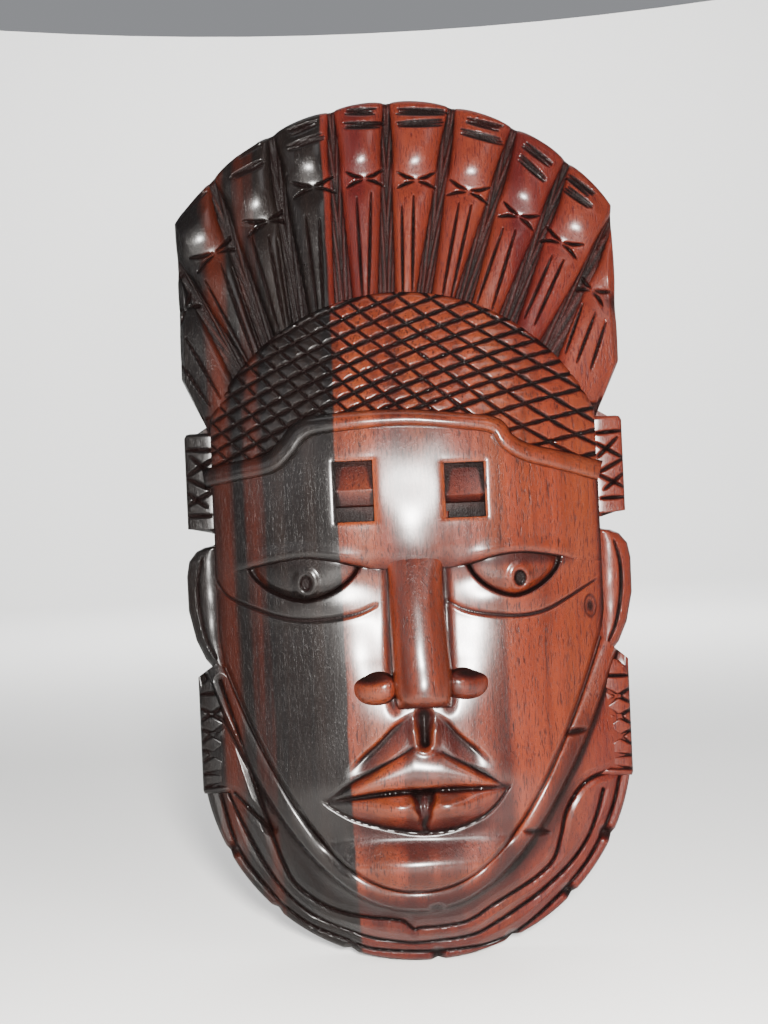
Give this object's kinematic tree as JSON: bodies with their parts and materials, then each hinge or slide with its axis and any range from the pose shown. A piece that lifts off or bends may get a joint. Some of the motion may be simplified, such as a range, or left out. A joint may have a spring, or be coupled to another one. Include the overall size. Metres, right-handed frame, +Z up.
{
  "type": "carved wooden wall mask",
  "caption": "Carved two-tone wooden wall mask with a ribbed fan crest, lattice cap, long nose and roped collar, hollowed back and a ring hanger.",
  "frame": {"origin": "on the flat back, on the centre line, 250 mm above the lowest point, between the hollow and the hanger's recess", "axes": "+Z up, the face looks along -Y, +Y points into the wall"},
  "size_m": [0.181, 0.0598, 0.35],
  "materials": {
    "varnished_wood": "gloss varnish over red-brown and near-black wood",
    "plated_steel": "zinc plated sheet",
    "ring_steel": "nickel plated wire",
    "screw_brass": "worn brass"
  },
  "bodies": {
    "mask": {"carved_mask": "varnished_wood", "hanger_strap": "plated_steel", "hanger_screws": "screw_brass"},
    "ring": {"hanger_ring": "ring_steel"}
  },
  "joints": [
    {"name": "ring_swing", "type": "hinge", "parent": "mask", "child": "ring", "pos_m": [0, -0.0031, 0.05], "axis": [-1, 0, 0], "range_deg": [0, 180]}
  ]
}
